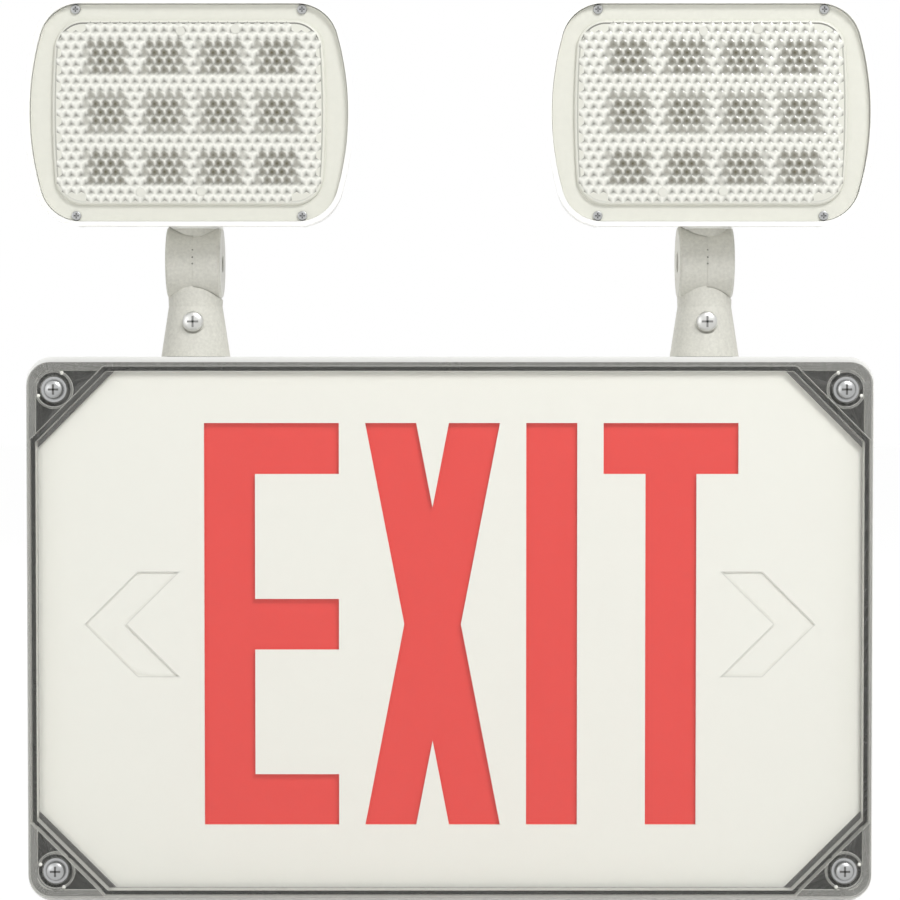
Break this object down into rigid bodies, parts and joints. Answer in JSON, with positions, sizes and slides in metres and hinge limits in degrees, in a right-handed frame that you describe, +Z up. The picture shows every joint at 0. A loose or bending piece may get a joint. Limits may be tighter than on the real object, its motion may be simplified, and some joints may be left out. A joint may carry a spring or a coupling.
{
  "type": "emergency exit light",
  "caption": "Wet-location wall sign with a red stencil legend behind a sealed clear cover, and battery-backed lamp heads on swivel and tilt arms.",
  "frame": {"origin": "centre of the wire-entry hole at the wall-mounting face", "axes": "+X to the viewer's right, +Y into the wall, +Z up; the legend faces -Y"},
  "size_m": [0.3237, 0.0672, 0.3401],
  "materials": {
    "housing_plastic": "satin moulded polycarbonate, white",
    "gasket_rubber": "matte closed-cell gasket",
    "clear_polycarbonate": "clear polished polycarbonate",
    "legend_white": "white stencil sheet",
    "red_acrylic": "translucent red diffuser",
    "inner_plastic": "white moulded inner part",
    "arm_plastic": "lightly textured grey-beige plastic",
    "zinc_steel": "bright zinc-plated steel",
    "stainless_steel": "polished stainless steel",
    "board_green": "printed circuit board",
    "board_white": "white solder mask board",
    "led_yellow": "phosphor-coated lamp chip",
    "cup_grey": "bright moulded reflector",
    "component_dark": "dark electronic parts",
    "transformer_steel": "laminated core",
    "battery_wrap": "wrapped rechargeable cells",
    "button_red": "red push button",
    "lamp_green": "green indicator",
    "bezel_black": "black bezel",
    "seal_black": "black rubber seal"
  },
  "bodies": {
    "sign": {"back_housing": "housing_plastic", "battery_pack": "battery_wrap", "battery_strap": "zinc_steel", "board_parts": "component_dark", "board_screws": "zinc_steel", "button_bezel": "bezel_black", "clear_cover": "clear_polycarbonate", "conduit_plug": "housing_plastic", "control_board": "board_green", "cover_gasket": "gasket_rubber", "cover_screws": "zinc_steel", "cover_washers": "zinc_steel", "left_locknut": "inner_plastic", "left_post_seal": "seal_black", "left_swivel_post": "inner_plastic", "legend_plate": "legend_white", "light_box": "inner_plastic", "light_box_screws": "zinc_steel", "push_switch": "component_dark", "rear_gasket": "gasket_rubber", "red_diffuser": "red_acrylic", "right_locknut": "inner_plastic", "right_post_seal": "seal_black", "right_swivel_post": "inner_plastic", "sign_led_board": "board_white", "sign_leds": "led_yellow", "status_lamp": "lamp_green", "strap_screws": "zinc_steel", "transformer": "transformer_steel"},
    "test_button": {"test_button": "button_red"},
    "left_arm": {"left_arm": "arm_plastic", "left_clamp_screw": "stainless_steel", "left_pivot_bolt": "zinc_steel", "left_pivot_nut": "zinc_steel"},
    "left_head": {"left_head_housing": "housing_plastic", "left_lens_gasket": "seal_black", "left_lens": "clear_polycarbonate", "left_lens_screws": "zinc_steel", "left_reflector": "cup_grey", "left_led_board": "board_white", "left_leds": "led_yellow"},
    "right_arm": {"right_arm": "arm_plastic", "right_clamp_screw": "stainless_steel", "right_pivot_bolt": "zinc_steel", "right_pivot_nut": "zinc_steel"},
    "right_head": {"right_head_housing": "housing_plastic", "right_lens_gasket": "seal_black", "right_lens": "clear_polycarbonate", "right_lens_screws": "zinc_steel", "right_reflector": "cup_grey", "right_led_board": "board_white", "right_leds": "led_yellow"}
  },
  "joints": [
    {"name": "left_pan", "type": "hinge", "parent": "sign", "child": "left_arm", "pos_m": [-0.0976, -0.038, 0.1394], "axis": [0, 0, 1], "range_deg": [-90, 90]},
    {"name": "left_tilt", "type": "hinge", "parent": "left_arm", "child": "left_head", "pos_m": [-0.0976, -0.038, 0.1394], "axis": [1, 0, 0], "range_deg": [-20, 60]},
    {"name": "right_pan", "type": "hinge", "parent": "sign", "child": "right_arm", "pos_m": [0.0976, -0.038, 0.1394], "axis": [0, 0, 1], "range_deg": [-90, 90]},
    {"name": "right_tilt", "type": "hinge", "parent": "right_arm", "child": "right_head", "pos_m": [0.0976, -0.038, 0.1394], "axis": [1, 0, 0], "range_deg": [-20, 60]},
    {"name": "button_press", "type": "slide", "parent": "sign", "child": "test_button", "axis": [-1, 0, 0], "range_m": [0, 0.0015], "stiffness_N_per_m": 400, "springref_m": -0.001}
  ]
}
